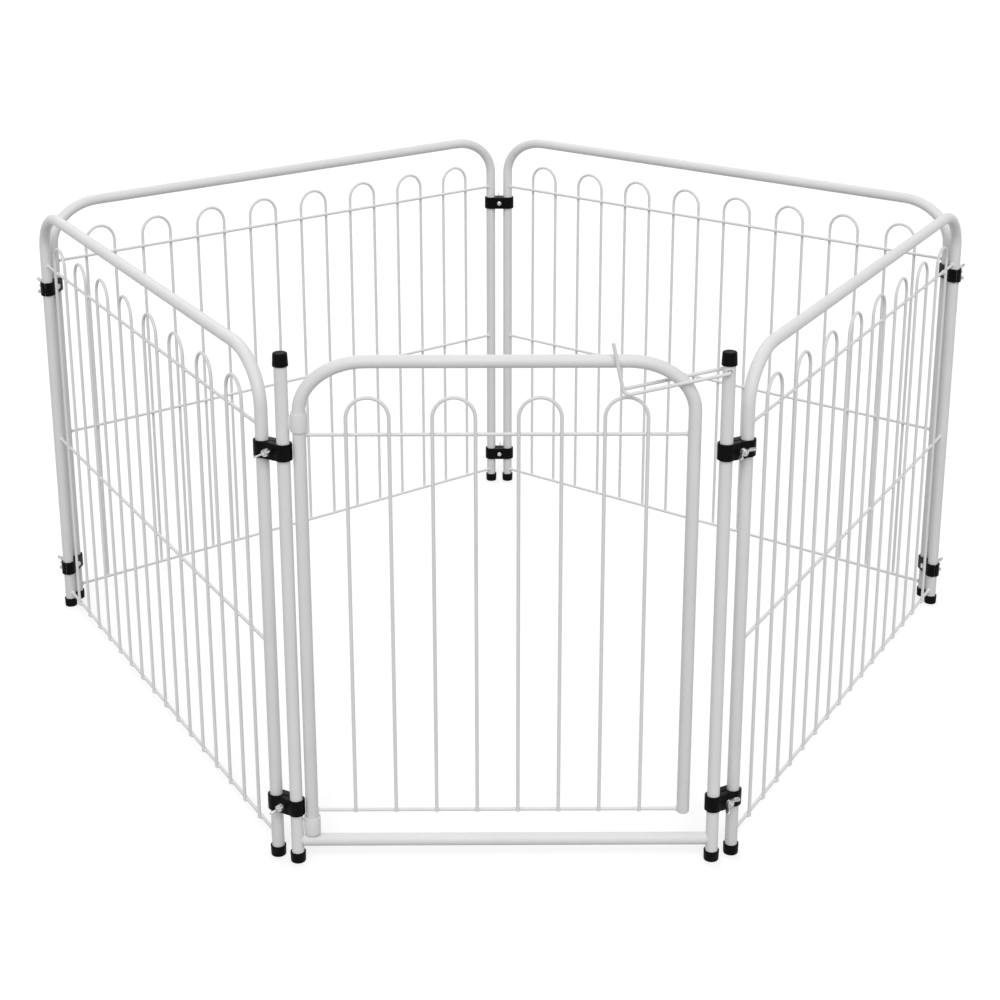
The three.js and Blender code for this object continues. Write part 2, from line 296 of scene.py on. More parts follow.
def colourAndGloss(tree, shader, coords, look):
    drift = noiseAt(tree, coords, *look["drift"])
    tree.links.new(toneBetween(tree, drift, look["dark"], look["light"]), shader.inputs["Base Color"])
    sheen = noiseAt(tree, coords, *look["sheen"])
    tree.links.new(spread(tree, sheen, *look["rough"]), shader.inputs["Roughness"])


def bumpOn(tree, shader, layers):
    # layers of (height, strength, distance), each laid over the last
    normal = None
    for height, strength, distance in layers:
        feeds = {"Height": height, "Strength": strength, "Distance": distance}
        if normal is not None:
            feeds["Normal"] = normal
        normal = addNode(tree, "ShaderNodeBump", feeds).outputs[0]
    tree.links.new(normal, shader.inputs["Normal"])


powder = {
    "dark": (0.765, 0.765, 0.76), "light": (0.80, 0.80, 0.796), "specular": 0.25,
    "drift": (14.0, 4.0, 0.55), "sheen": (55.0, 3.0, 0.5), "rough": (0.34, 0.46),
    "peel": (620.0, 2.0, 0.5), "peelBump": (0.35, 0.00012),
    "speck": (2600.0, 1.0, 0.5), "speckBump": (0.2, 0.00003),
}


def makePowderCoat():
    finish, tree, shader, coords = newFinish("whitePowderCoat", Specular_IOR_Level=powder["specular"])
    colourAndGloss(tree, shader, coords, powder)
    bumpOn(tree, shader, [
        (noiseAt(tree, coords, *powder["peel"]), *powder["peelBump"]),
        (noiseAt(tree, coords, *powder["speck"]), *powder["speckBump"])])
    return finish


rubber = {
    "dark": (0.0014, 0.0014, 0.0015), "light": (0.0040, 0.0040, 0.0042), "specular": 0.06,
    "drift": (160.0, 4.0, 0.5), "sheen": (300.0, 3.0, 0.5), "rough": (0.42, 0.6),
    "grain": (2400.0, 2.0, 0.6), "grainBump": (0.4, 0.00008),
}


def makeRubber():
    finish, tree, shader, coords = newFinish("blackRubber", Specular_IOR_Level=rubber["specular"])
    colourAndGloss(tree, shader, coords, rubber)
    bumpOn(tree, shader, [(noiseAt(tree, coords, *rubber["grain"]), *rubber["grainBump"])])
    return finish


nylon = {
    "dark": (0.0012, 0.0012, 0.0013), "light": (0.0034, 0.0034, 0.0035), "specular": 0.06,
    "drift": (90.0, 4.0, 0.6), "sheen": (240.0, 3.0, 0.5), "rough": (0.3, 0.46),
    "grain": 1500.0, "grainBump": (0.3, 0.00006),
    "flow": (420.0, 3.0, 0.5), "flowBump": (0.25, 0.00012),
}


def makeNylon():
    finish, tree, shader, coords = newFinish("blackNylon", Specular_IOR_Level=nylon["specular"])
    colourAndGloss(tree, shader, coords, nylon)
    cells = addNode(tree, "ShaderNodeTexVoronoi", {
        "Vector": coords, "Scale": nylon["grain"]}, feature="SMOOTH_F1")
    bumpOn(tree, shader, [
        (cells.outputs["Distance"], *nylon["grainBump"]),
        (noiseAt(tree, coords, *nylon["flow"]), *nylon["flowBump"])])
    return finish


zinc = {
    "dark": (0.30, 0.31, 0.32), "light": (0.72, 0.72, 0.71),
    "drift": (260.0, 5.0, 0.62), "sheen": (480.0, 4.0, 0.5), "rough": (0.2, 0.42),
    "dents": (190.0, 2.0, 0.5), "dentBump": (0.5, 0.0005),
    "pits": (900.0, 3.0, 0.5), "pitBump": (0.3, 0.00012),
}


def makeZinc():
    finish, tree, shader, coords = newFinish("zincPlate", Metallic=1.0)
    colourAndGloss(tree, shader, coords, zinc)
    bumpOn(tree, shader, [
        (noiseAt(tree, coords, *zinc["dents"]), *zinc["dentBump"]),
        (noiseAt(tree, coords, *zinc["pits"]), *zinc["pitBump"])])
    return finish


finishes = {
    "white_powder_coat": makePowderCoat(),
    "black_rubber": makeRubber(),
    "black_nylon": makeNylon(),
    "zinc_plate": makeZinc(),
}
powderCoat = finishes["white_powder_coat"]
print("finishes mixed")


# mesh helpers
helperLayers = ("swell", "heading", "tilt")
easeLimit = 0.49  # the most of a side that one eased corner takes
sharpFold = 0.9  # radians, past which a plate's edge is eased
plateCurve = 0.6  # how full a plate's eased edge is


def joinMeshes(meshName, meshes):
    together = bmesh.new()
    for mesh in meshes:
        together.from_mesh(mesh)
    result = bpy.data.meshes.new(meshName)
    together.to_mesh(result)
    together.free()
    return result


def camel(label):
    words = label.split("_")
    return words[0] + "".join(w.capitalize() for w in words[1:])


def finishPiece(pieceName, mesh, body, nodes, slotName):
    mesh.materials.clear()
    mesh.materials.append(finishes[slotName])
    for label in [a.name for a in mesh.attributes if a.name in helperLayers]:
        mesh.attributes.remove(mesh.attributes[label])
    mesh.name = pieceName
    piece = bpy.data.objects.new(pieceName, mesh)
    scene.collection.objects.link(piece)
    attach(piece, body)
    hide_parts(*nodes)
    return piece


def turnedMesh(profile, facets, ripple=None):
    # a turned solid from (radius, height) points that start and end on the axis, or at one point off it
    shape = bmesh.new()
    rings = []
    for radius, height in profile:
        if radius == 0:
            rings.append([shape.verts.new((0, 0, height))])
            continue
        ring = []
        for i in range(facets):
            angle = 2 * math.pi * i / facets
            r = radius * (1 + (ripple(angle, height) if ripple else 0))
            ring.append(shape.verts.new((r * math.cos(angle), r * math.sin(angle), height)))
        rings.append(ring)
    for low, high in zip(rings, rings[1:]):
        for i in range(facets):
            j = (i + 1) % facets
            around = []
            for vert in (low[i % len(low)], low[j % len(low)], high[j % len(high)], high[i % len(high)]):
                if vert not in around:
                    around.append(vert)
            if len(around) > 2:
                shape.faces.new(around)
    bmesh.ops.recalc_face_normals(shape, faces=shape.faces)
    for face in shape.faces:
        face.smooth = True
    mesh = bpy.data.meshes.new("turned")
    shape.to_mesh(mesh)
    shape.free()
    return mesh


def roundedProfile(points, steps=4):
    # (radius, height, rounding) corners to a plain profile, each corner eased by its rounding
    out = []
    for i, (r, z, ease) in enumerate(points):
        if not ease:
            out.append((r, z))
            continue
        here = Vector((r, z))
        before = Vector(points[i - 1][:2]) - here
        after = Vector(points[i + 1][:2]) - here
        a = here + before.normalized() * min(ease, before.length * easeLimit)
        b = here + after.normalized() * min(ease, after.length * easeLimit)
        for k in range(steps + 1):
            t = k / steps
            p = a * (1 - t) ** 2 + here * 2 * t * (1 - t) + b * t ** 2
            out.append((p.x, p.y))
    return out


def plateMesh(outline, low, high, bevel, segments=2, along="Z"):
    # an outline pushed from low to high, with its edges eased
    shape = bmesh.new()
    bottom = [shape.verts.new((x, y, low)) for x, y in outline]
    face = shape.faces.new(bottom)
    pushed = bmesh.ops.extrude_face_region(shape, geom=[face])
    tops = [v for v in pushed["geom"] if isinstance(v, bmesh.types.BMVert)]
    for vert in tops:
        vert.co.z = high
    bmesh.ops.recalc_face_normals(shape, faces=shape.faces)
    sharp = [e for e in shape.edges if len(e.link_faces) == 2 and e.calc_face_angle() > sharpFold]
    bmesh.ops.bevel(shape, geom=sharp, offset=bevel, segments=segments, profile=plateCurve, affect="EDGES")
    bmesh.ops.triangulate(shape, faces=[f for f in shape.faces if len(f.verts) > 4])
    bmesh.ops.recalc_face_normals(shape, faces=shape.faces)
    mesh = bpy.data.meshes.new("plate")
    shape.to_mesh(mesh)
    shape.free()
    if along == "Y":
        mesh.transform(Matrix.Rotation(math.pi / 2, 4, "X"))
    return mesh


def smoothByAngle(mesh, degrees):
    for polygon in mesh.polygons:
        polygon.use_smooth = True
    shape = bmesh.new()
    shape.from_mesh(mesh)
    for edge in shape.edges:
        if len(edge.link_faces) == 2:
            edge.smooth = edge.calc_face_angle() < math.radians(degrees)
    shape.to_mesh(mesh)
    shape.free()
    return mesh


def moved(mesh, matrix):
    copied = mesh.copy()
    copied.transform(matrix)
    return copied


def carved(mesh, cutters):
    # takes each cutter's shape out of the mesh
    holder = bpy.data.objects.new("carved", mesh)
    scene.collection.objects.link(holder)
    knives = []
    for cutter in cutters:
        knife = bpy.data.objects.new("knife", cutter)
        scene.collection.objects.link(knife)
        modifier = holder.modifiers.new("cut", "BOOLEAN")
        modifier.operation = "DIFFERENCE"
        modifier.solver = "EXACT"
        modifier.object = knife
        knives.append(knife)
    return takeMesh(holder, *knives)


def middle(node):
    low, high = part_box(node)
    return (low + high) / 2


def panelPlace(footOne, footTwo):
    # local x runs from the first foot to the second, local y points into the pen
    start, end = middle(footOne), middle(footTwo)
    heading = math.atan2(end.y - start.y, end.x - start.x)
    spot = Vector((start.x, start.y, 0))
    return Matrix.Translation(spot) @ Matrix.Rotation(heading, 4, "Z"), (end - start).to_2d().length, heading


# tubes and wires
tube = {
    "radius": 8 * mm, "facets": 28, "bendAcross": 80 * mm, "bendDown": 62 * mm, "bendSteps": 14,
    "railHeight": 664 * mm, "low": 3.4 * mm,
    "ends": ((0.0, 0.72), (0.06, 0.86), (0.16, 0.95), (0.32, 1.0)),  # rise in radii, and width there
}
grille = {
    "wireRadius": 2.25 * mm, "facets": 12, "spacing": 51 * mm, "archTop": 620 * mm, "archSide": -2 * mm,
    "rowSide": 2 * mm, "tail": 0.5 * mm, "weld": 2.95 * mm,
}
collar = {
    "sunk": 0.55 * mm, "facets": 14,
    "profile": [(0, 0, 0), (3.5 * mm, 0, 0), (3.3 * mm, 0.9 * mm, 0.4 * mm),
                (2.4 * mm, 1.9 * mm, 0.3 * mm), (0, 1.9 * mm, 0)],
}


def hoopPath(left, right, top, lowLeft, lowRight):
    # up one leg, over the rail and down the other, with both ends rounded off
    r, across, down, steps = tube["radius"], tube["bendAcross"], tube["bendDown"], tube["bendSteps"]
    points, swell = [], []
    for rise, width in tube["ends"]:
        points.append((left, 0, lowLeft + rise * r))
        swell.append(width)
    for centre, first in ((left + across, 180), (right - across, 90)):
        for i in range(steps + 1):
            a = math.radians(first - 90 * i / steps)
            points.append((centre + across * math.cos(a), 0, top - down + down * math.sin(a)))
            swell.append(1.0)
    for rise, width in reversed(tube["ends"]):
        points.append((right, 0, lowRight + rise * r))
        swell.append(width)
    return seedLine(points, swell)


def growTube(path, radius=tube["radius"], facets=tube["facets"]):
    return growMesh(tubeTree, path, {"Tube Radius": radius, "Facets": facets, "Finish": powderCoat})


def growGrille(left, right, rows, arches):
    spacing = grille["spacing"]
    wires = growMesh(wireTree, seedSpots([(0, 0, z) for z in rows]), {
        "Wire Radius": grille["wireRadius"], "Facets": grille["facets"], "Spacing": spacing, "Arches": arches,
        "First Wire": left + (right - left - (2 * arches - 1) * spacing) / 2,
        "Arch Top": grille["archTop"], "Wire Foot": min(rows) - grille["tail"],
        "Arch Side": grille["archSide"], "Row Side": grille["rowSide"], "Row Start": left, "Row End": right,
        "Weld Size": grille["weld"], "Finish": powderCoat})
    # a collar of weld where each straight wire meets the tubes
    ring = turnedMesh(roundedProfile(collar["profile"]), collar["facets"])
    collars = []
    for z in rows:
        for x, side in ((left, 1), (right, -1)):
            seat = x + side * (tube["radius"] - collar["sunk"])
            turn = Matrix.Rotation(side * math.pi / 2, 4, "Y")
            collars.append(moved(ring, Matrix.Translation((seat, grille["rowSide"], z)) @ turn))
    return joinMeshes("grille", [wires, *collars])


sides = ("left_front", "left_rear", "right_rear", "right_front")
sidePanel = {"rows": [24 * mm, 292 * mm, 576.5 * mm], "arches": 8}


def buildSidePanels():
    for side in sides:
        node = "panel_" + side
        place, width, _ = panelPlace(node + "_foot_1", node + "_foot_2")
        hoop = growTube(hoopPath(0, width, tube["railHeight"], tube["low"], tube["low"]))
        wires = growGrille(0, width, sidePanel["rows"], sidePanel["arches"])
        mesh = joinMeshes(node, [hoop, wires])
        mesh.transform(place)
        finishPiece(camel(side) + "Panel", mesh, side + "_panel", [node], "white_powder_coat")


buildSidePanels()
print("side panels welded")


# gate frame: posts, threshold, sleeves on their tabs
gate = {
    "thresholdHeight": 30 * mm, "postTop": 671.8 * mm, "postSteps": 6, "axis": 19.5 * mm,
    "neckWidth": 0.8, "neck": ((-0.9 * mm, 0.8), (0.1 * mm, 0.96), (1.1 * mm, 1.0)),
}
latchHole = {
    "radius": 3.0 * mm, "height": 652 * mm, "reach": 12 * mm,
    "hollow": 6.8 * mm, "hollowBelow": 20 * mm, "hollowAbove": 14 * mm, "facets": 24, "smooth": 40,
}
sleeve = {
    "outer": 10.3 * mm, "bore": 8.5 * mm, "tall": 25.5 * mm, "lip": 2 * mm, "lows": (38.6 * mm, 576.2 * mm),
    "inside": 0.6 * mm, "lead": 3 * mm, "facets": 32, "roundSteps": 3,
}
tab = {
    "tall": 15 * mm, "edge": 0.7 * mm, "smooth": 45,
    # distance past the post and past the sleeve, and half thickness there
    "postFlare": ((-1 * mm, 4.3 * mm), (0.5 * mm, 3.4 * mm), (1.6 * mm, 2.7 * mm)),
    "sleeveFlare": ((-0.6 * mm, 2.7 * mm), (0.3 * mm, 3.3 * mm), (1.4 * mm, 4.2 * mm)),
}
gatePlace, gateWidth, gateHeading = panelPlace("gate_foot_left", "gate_foot_right")


def growPosts():
    low, steps = tube["low"], gate["postSteps"]
    heights = [low + k * (gate["postTop"] - low) / steps for k in range(steps + 1)]
    hinge, catch = [growTube(seedLine([(x, 0, z) for z in heights])) for x in (0, gateWidth)]
    # the latch post is hollow round its cross hole
    r, reach, facets = latchHole["radius"], latchHole["reach"], latchHole["facets"]
    wide, below, above = latchHole["hollow"], latchHole["hollowBelow"], latchHole["hollowAbove"]
    drill = turnedMesh([(0, -reach), (r, -reach), (r, reach), (0, reach)], facets)
    hollow = turnedMesh([(0, -below), (wide, -below), (wide, above), (0, above)], facets)
    spot = Matrix.Translation((gateWidth, 0, latchHole["height"]))
    drill.transform(spot @ Matrix.Rotation(math.pi / 2, 4, "X"))
    hollow.transform(spot)
    return [hinge, smoothByAngle(carved(catch, [hollow, drill]), latchHole["smooth"])]


def growThreshold():
    # it is necked where it is hidden in the posts, so that the weld reads as one edge
    r = tube["radius"]
    ends = [(0.0, gate["neckWidth"])] + [(r + past, width) for past, width in gate["neck"]]
    stations = ends + [(gateWidth / 2, 1.0)] + [(gateWidth - x, s) for x, s in reversed(ends)]
    return growTube(seedLine([(x, 0, gate["thresholdHeight"]) for x, s in stations], [s for x, s in stations]))


def growSleeves():
    # the lower lip stops short of the threshold, which leaves an open line under it
    outer, bore, tall, lip = sleeve["outer"], sleeve["bore"], sleeve["tall"], sleeve["lip"]
    throat, lead = bore - sleeve["inside"], sleeve["lead"]
    ring = turnedMesh(roundedProfile([
        (throat, lead, 0), (bore, lip, 0), (outer, lip, 0.4 * mm), (outer, tall, 0.8 * mm),
        (bore, tall - 0.2 * mm, 0), (throat, tall - 1.6 * mm, 0), (throat, lead, 0)],
        sleeve["roundSteps"]), sleeve["facets"])
    half, reach = tab["tall"] / 2, gate["axis"] - outer
    flare = [(tube["radius"] + x, t) for x, t in tab["postFlare"]]
    flare += [(reach + x, t) for x, t in tab["sleeveFlare"]]
    outline = [(x, -t) for x, t in flare] + [(x, t) for x, t in reversed(flare)]
    web = smoothByAngle(plateMesh(outline, -half, half, tab["edge"]), tab["smooth"])
    parts = []
    for low in sleeve["lows"]:
        parts.append(moved(ring, Matrix.Translation((gate["axis"], 0, low))))
        parts.append(moved(web, Matrix.Translation((0, 0, low + tall / 2))))
    return parts


def buildGateFrame():
    mesh = joinMeshes("gateFrame", [*growPosts(), growThreshold(), *growSleeves()])
    mesh.transform(gatePlace)
    finishPiece("gateFrame", mesh, "gate_frame", ["gate_frame"], "white_powder_coat")


buildGateFrame()

door = {"right": 38 * mm, "low": 39.4 * mm, "freeLow": 68.2 * mm, "rows": [71.5 * mm, 573 * mm], "arches": 4}


def buildDoor():
    left, right = gate["axis"], gateWidth - door["right"]
    hoop = growTube(hoopPath(left, right, tube["railHeight"], door["low"], door["freeLow"]))
    mesh = joinMeshes("door", [hoop, growGrille(left, right, door["rows"], door["arches"])])
    mesh.transform(gatePlace)
    finishPiece("swingDoor", mesh, "gate_door", ["gate_door"], "white_powder_coat")


buildDoor()

latch = {
    "wire": 2.25 * mm, "side": 12.2 * mm, "bend": 3.2 * mm, "reach": 118 * mm, "tip": 6 * mm,
    "knee": 8 * mm, "handle": 66 * mm, "droop": 12.2, "facets": 14, "bendSteps": 8, "kneeSteps": 10,
    "taper": [0.62, 0.88, 0.98], "taperStep": 0.6 * mm,
}


def buildLatch():
    side, bend, reach, knee = latch["side"], latch["bend"], latch["reach"], latch["knee"]
    steps, kneeSteps, tipStep = latch["bendSteps"], latch["kneeSteps"], latch["taperStep"]
    points = [(-reach - latch["tip"] + k * tipStep, side, 0) for k in range(4)]
    for centre, start in ((side - bend, 90), (-side + bend, 0)):
        for i in range(steps + 1):
            a = math.radians(start - 90 * i / steps)
            points.append((-bend + bend * math.cos(a), centre + bend * math.sin(a), 0))
    for i in range(kneeSteps + 1):
        a = math.radians(-90 - 90 * i / kneeSteps)
        points.append((-reach + knee * math.cos(a), -side, knee + knee * math.sin(a)))
    points += [(-reach - knee, -side, latch["handle"] - k * tipStep) for k in (3, 2, 1, 0)]
    swell = [1.0] * len(points)
    swell[:3] = latch["taper"]
    swell[-3:] = reversed(latch["taper"])
    mesh = growTube(seedLine(points, swell), latch["wire"], latch["facets"])
    hung = Matrix.Rotation(-math.radians(latch["droop"]), 4, "Y")
    mesh.transform(gatePlace @ (Matrix.Translation((gateWidth, 0, latchHole["height"])) @ hung))
    finishPiece("latchWire", mesh, "latch", ["latch_wire"], "white_powder_coat")


buildLatch()
print("gate hung and latched")


# rubber feet and post caps; a rib is a share of the radius
foot = {
    "bottom": 9.5 * mm, "top": 10 * mm, "tall": 14 * mm, "bore": 8.05 * mm, "floor": 3.2 * mm,
    "hollow": 5.6 * mm, "hollowEdge": 6.2 * mm, "hollowDeep": 0.4 * mm, "heel": 1.9 * mm, "waist": 5 * mm,
    "ribs": 12, "rib": 0.011, "fade": 2 * mm, "facets": 60,
}
cap = {
    "bottom": 9.6 * mm, "top": 8.75 * mm, "tall": 16.4 * mm, "bore": 8.05 * mm, "roof": 3.4 * mm,
    "shoulder": 2.1 * mm, "waist": 5 * mm, "crown": 0.6,
    "ribs": 12, "rib": 0.010, "fade": 3 * mm, "facets": 60, "turns": [0.0, 0.3],
}


def clipped(value):
    return min(max(value, 0), 1)


def ridge(plug, angle, fade):
    return plug["rib"] * (math.cos(plug["ribs"] * angle) - 1) * 0.5 * fade


def footShape():
    bottom, top, tall, bore = foot["bottom"], foot["top"], foot["tall"], foot["bore"]

    def ribs(angle, height):
        return ridge(foot, angle, clipped(height / tall) * clipped((tall - height) / foot["fade"]))

    profile = roundedProfile([
        (0, foot["hollowDeep"], 0), (foot["hollow"], foot["hollowDeep"], 0.3 * mm),
        (foot["hollowEdge"], 0, 0.2 * mm), (bottom, 0, foot["heel"]), (bottom + 0.2 * mm, foot["waist"], 0),
        (top - 0.15 * mm, tall - 3 * mm, 0), (top, tall, 0.6 * mm), (bore, tall, 0.3 * mm),
        (bore, foot["floor"], 0), (0, foot["floor"], 0)])
    return turnedMesh(profile, foot["facets"], ribs)


def capShape():
    bottom, top, tall, bore = cap["bottom"], cap["top"], cap["tall"], cap["bore"]
    under = tall - cap["roof"]

    def ribs(angle, height):
        return ridge(cap, angle, clipped((tall - height) / cap["fade"]))

    profile = roundedProfile([
        (0, under, 0), (bore, under, 0), (bore, 0, 0.3 * mm), (bottom, 0, 0.7 * mm),
        (bottom - 0.25 * mm, cap["waist"], 0), (top, tall, cap["shoulder"]),
        (cap["crown"] * top, tall - 0.15 * mm, 0.5 * mm), (0, tall - 0.35 * mm, 0)])
    return turnedMesh(profile, cap["facets"], ribs)


def asShape(shapeName, mesh):
    shape = bpy.data.objects.new(shapeName, mesh)
    scene.collection.objects.link(shape)
    return shape


def growStations(shape, spots, headings, slotName, tilts=None):
    seeds = seedSpots(spots, headings, tilts)
    return growMesh(stationTree, seeds, {"Shape": shape, "Finish": finishes[slotName]})


def lowSpots(nodes):
    return [(middle(n).x, middle(n).y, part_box(n)[0].z) for n in nodes]


def buildFeet():
    plug = asShape("footPlug", footShape())
    groups = [("gate", "gate_frame", ["gate_foot_left", "gate_foot_right"], gateHeading)]
    for side in sides:
        nodes = [f"panel_{side}_foot_{k}" for k in (1, 2)]
        groups.append((side, side + "_panel", nodes, panelPlace(*nodes)[2]))
    for label, body, nodes, heading in groups:
        mesh = growStations(plug, lowSpots(nodes), [heading] * 2, "black_rubber")
        finishPiece(camel(label) + "Feet", mesh, body, nodes, "black_rubber")
    bpy.data.objects.remove(plug)


def buildCaps():
    plug = asShape("capPlug", capShape())
    nodes = ["post_cap_left", "post_cap_right"]
    mesh = growStations(plug, lowSpots(nodes), cap["turns"], "black_rubber")
    finishPiece("postCaps", mesh, "gate_frame", nodes, "black_rubber")
    bpy.data.objects.remove(plug)


buildFeet()
buildCaps()
print("feet and caps pushed on")


# corner clamps with their bolts and wing nuts
clamp = {
    "pitch": 31 * mm, "radius": 11 * mm, "bore": 8.15 * mm, "split": 0.5 * mm, "tall": 21 * mm,
    "waist": 9.9 * mm, "edge": 1.2 * mm, "edgeSteps": 3, "smooth": 50, "saddle": 118, "turnedFacets": 32,
}
boss = {"radius": 6.2 * mm, "root": 5 * mm, "flare": 0.8 * mm, "dish": 3.3 * mm, "dishDeep": 1.2 * mm}
washer = {"radius": 7.2 * mm, "root": 9 * mm, "proud": 0.3 * mm, "dish": 6.1 * mm}
bolt = {
    "shank": 2.8 * mm, "head": 4.3 * mm, "dome": 2.8 * mm, "rim": 0.35 * mm, "domeSteps": 8,
    "seat": 11.1 * mm, "end": 20.3 * mm, "thread": 1.0 * mm, "threadDeep": 0.35 * mm, "runIn": 2 * mm,
    "facets": 28, "smooth": 60,
}
wing = {
    "seat": 11.3 * mm, "hub": 5.25 * mm, "hubTop": 4.3 * mm, "hubTall": 7 * mm, "hubFacets": 32,
    "thick": 2.3 * mm, "edge": 0.7 * mm, "voxel": 0.42 * mm, "softness": 0.5, "softPasses": 5,
    # one ear's outline in mm, from the hub round to the hub
    "ear": [(1.0, 1.2), (5.2, 1.2), (8.2, 2.8), (10.8, 5.2), (12.7, 7.8), (13.2, 10.2), (12.6, 12.2),
            (10.8, 12.8), (8.6, 12.2), (7.2, 10.6), (6.0, 8.8), (4.6, 7.0), (2.0, 6.4)],
}
corners = {
    "front_right": ("gate_foot_right", "panel_right_front_foot_1", "gate_frame"),
    "right": ("panel_right_front_foot_2", "panel_right_rear_foot_1", "right_clamps"),
    "rear": ("panel_right_rear_foot_2", "panel_left_rear_foot_1", "rear_clamps"),
    "left": ("panel_left_rear_foot_2", "panel_left_front_foot_1", "left_clamps"),
    "front_left": ("panel_left_front_foot_2", "gate_foot_left", "front_left_clamps"),
}
levels = ("upper", "lower")


def arcPoints(cx, radius, start, end, steps):
    # an arc about a point on the joint line, from one angle to another in degrees
    angles = [math.radians(start + (end - start) * k / steps) for k in range(steps + 1)]
    return [(cx + radius * math.cos(a), radius * math.sin(a)) for a in angles]


def halfOutline(pinched):
    # the saddle seen from above, on the +y side of the joint line
    half, r, bore, waist = clamp["pitch"] / 2, clamp["radius"], clamp["bore"], clamp["waist"]
    lift = math.degrees(math.asin(clamp["split"] / r))
    rest = math.degrees(math.asin(clamp["split"] / bore))
    if pinched:
        saddle, easeOut = clamp["saddle"], waist + 0.45 * mm
        outer = arcPoints(half, r, lift, saddle, 12)
        outer += [(half * 0.42, easeOut), (half * 0.25, waist), (-half * 0.25, waist), (-half * 0.42, easeOut)]
        outer += arcPoints(-half, r, 180 - saddle, 180 - lift, 12)
    else:
        outer = arcPoints(half, r, lift, 90, 10) + arcPoints(-half, r, 90, 180 - lift, 10)
    inner = arcPoints(-half, bore, 180 - rest, rest, 12) + arcPoints(half, bore, 180 - rest, rest, 12)
    return outer + inner


def turnedAlongY(profile):
    mesh = turnedMesh(roundedProfile(profile), clamp["turnedFacets"])
    mesh.transform(Matrix.Rotation(-math.pi / 2, 4, "X"))
    return mesh


def bossShape():
    # the raised seat under the wing nut
    r, root, flare, dish = boss["radius"], boss["root"], boss["flare"], boss["dish"]
    face, waist = clamp["radius"], clamp["waist"]
    deep = face - boss["dishDeep"]
    return turnedAlongY([
        (0, root, 0), (r + flare, root, 0), (r + flare, waist, 0), (r, waist + flare, 0.6 * mm),
        (r - 0.4 * mm, face, 0.6 * mm), (dish, face, 0.3 * mm), (dish - 0.1 * mm, deep, 0), (0, deep, 0)])


def washerShape():
    # the pad under the bolt's head
    r, root, face = washer["radius"], washer["root"], clamp["radius"]
    sunk = face - 0.1 * mm
    return turnedAlongY([
        (0, root, 0), (r, root, 0), (r, face + 0.05 * mm, 0.2 * mm),
        (r - 0.6 * mm, face + washer["proud"], 0.3 * mm), (washer["dish"], sunk, 0.3 * mm), (0, sunk, 0)])


def clampShape(pinched):
    tall = clamp["tall"] / 2
    plate = plateMesh(halfOutline(pinched), -tall, tall, clamp["edge"], clamp["edgeSteps"])
    body = smoothByAngle(plate, clamp["smooth"])
    mesh = joinMeshes("half", [body, bossShape() if pinched else washerShape()])
    if pinched:
        mesh.transform(Matrix.Rotation(math.pi, 4, "Z"))
    return mesh


def boltShape():
    r, seat, end, pitch = bolt["shank"], bolt["seat"], bolt["end"], bolt["thread"]
    head, rim, steps = bolt["head"], bolt["rim"], bolt["domeSteps"]
    profile = [(0, -seat - bolt["dome"])]
    for k in range(1, steps + 1):
        a = math.radians(90 * k / steps)
        profile.append((head * math.sin(a), -seat - rim - (bolt["dome"] - rim) * math.cos(a)))
    z = seat - bolt["runIn"]
    profile += [(head - 0.25 * mm, -seat), (r, -seat), (r, z)]
    while z < end - 1.6 * mm:
        profile += [(r, z + 0.4 * pitch), (r - bolt["threadDeep"], z + 0.8 * pitch)]
        z += pitch
    profile += [(r - 0.3 * mm, end - 0.9 * mm), (r - 0.9 * mm, end - 0.1 * mm), (0, end)]
    mesh = turnedMesh(profile, bolt["facets"])
    mesh.transform(Matrix.Rotation(math.pi / 2, 4, "X"))
    return smoothByAngle(mesh, bolt["smooth"])


def wingNutShape():
    # a hub and two ears, fused and softened as one casting; the axis is local z, then laid along -y
    hub = turnedMesh(roundedProfile([
        (0, 0, 0), (wing["hub"], 0, 0.5 * mm), (wing["hub"] - 0.2 * mm, 2.2 * mm, 0),
        (wing["hubTop"], wing["hubTall"], 0.8 * mm), (0, wing["hubTall"], 0)]), wing["hubFacets"])
    outline = [(x * mm, y * mm) for x, y in wing["ear"]]
    blade = plateMesh(outline, -wing["thick"] / 2, wing["thick"] / 2, wing["edge"], along="Y")
    both = [hub, blade, moved(blade, Matrix.Rotation(math.pi, 4, "Z"))]
    holder = bpy.data.objects.new("casting", joinMeshes("casting", both))
    scene.collection.objects.link(holder)
    remesh = holder.modifiers.new("fuse", "REMESH")
    remesh.mode = "VOXEL"
    remesh.voxel_size = wing["voxel"]
    soften = holder.modifiers.new("soften", "SMOOTH")
    soften.factor = wing["softness"]
    soften.iterations = wing["softPasses"]
    mesh = takeMesh(holder)
    for polygon in mesh.polygons:
        polygon.use_smooth = True
    mesh.transform(Matrix.Rotation(math.pi / 2, 4, "X"))
    mesh.transform(Matrix.Translation((0, -wing["seat"], 0)))
    return mesh


# how far each upper and lower wing nut's ears lean up from level, in degrees, seen from outside
wingLean = {
    "front_left": (27.0, 38.0), "left": (90.0, 78.0), "rear": (84.0, 96.0), "right": (90.0, 100.0),
    "front_right": (24.0, 42.0),
}


